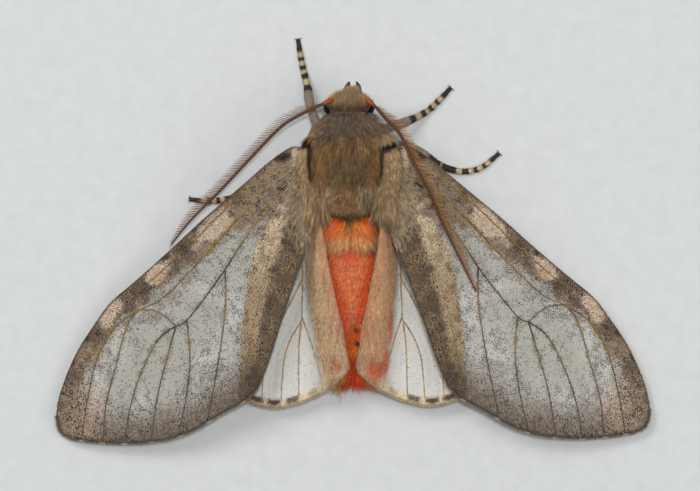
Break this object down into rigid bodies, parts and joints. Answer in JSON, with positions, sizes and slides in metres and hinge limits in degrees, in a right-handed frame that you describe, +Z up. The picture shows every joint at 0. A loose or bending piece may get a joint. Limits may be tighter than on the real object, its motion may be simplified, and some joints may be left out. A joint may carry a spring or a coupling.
{
  "type": "resting moth with spread wings",
  "caption": "Life-size still model of a stout-bodied moth at rest, with spread freckled see-through wings, a furry thorax, an orange abdomen and combed feelers.",
  "frame": {"origin": "On the floor under the middle of the part's box, on the line that the two forewings mirror in.", "axes": "+X to the part's right wing as seen from above with the head at the top, +Y towards the head, +Z up from the floor."},
  "size_m": [0.0454, 0.031, 0.007],
  "materials": {
    "brown_hair": "dense soft hair scales, ochre and grey brown",
    "grey_hair": "dense soft hair scales, grey brown",
    "orange_hair": "short hair scales, orange red with cream and amber tips",
    "black_eye": "glossy compound eye",
    "feeler_brown": "brown chitin with a fine comb",
    "leg_scale": "cream and black banded scales",
    "forewing_scale": "thin see-through membrane freckled with dark scales",
    "hindwing_scale": "thin glassy membrane with tan folds"
  },
  "bodies": {
    "root": {"abdomen": "orange_hair", "collar": "grey_hair", "end_tuft": "orange_hair", "eye_left": "black_eye", "eye_right": "black_eye", "feeler_left": "feeler_brown", "feeler_right": "feeler_brown", "foreleg_left_foot": "leg_scale", "foreleg_left_shin": "leg_scale", "foreleg_left_thigh": "leg_scale", "foreleg_right_foot": "leg_scale", "foreleg_right_shin": "leg_scale", "foreleg_right_thigh": "leg_scale", "forewing_left": "forewing_scale", "forewing_right": "forewing_scale", "head": "brown_hair", "hindleg_left_foot": "leg_scale", "hindleg_left_shin": "leg_scale", "hindleg_left_thigh": "leg_scale", "hindleg_right_foot": "leg_scale", "hindleg_right_shin": "leg_scale", "hindleg_right_thigh": "leg_scale", "hindwing_left": "hindwing_scale", "hindwing_right": "hindwing_scale", "midleg_left_foot": "leg_scale", "midleg_left_shin": "leg_scale", "midleg_left_thigh": "leg_scale", "midleg_right_foot": "leg_scale", "midleg_right_shin": "leg_scale", "midleg_right_thigh": "leg_scale", "palp_left": "brown_hair", "palp_right": "brown_hair", "tegula_left": "brown_hair", "tegula_right": "brown_hair", "thorax": "brown_hair"}
  },
  "joints": []
}
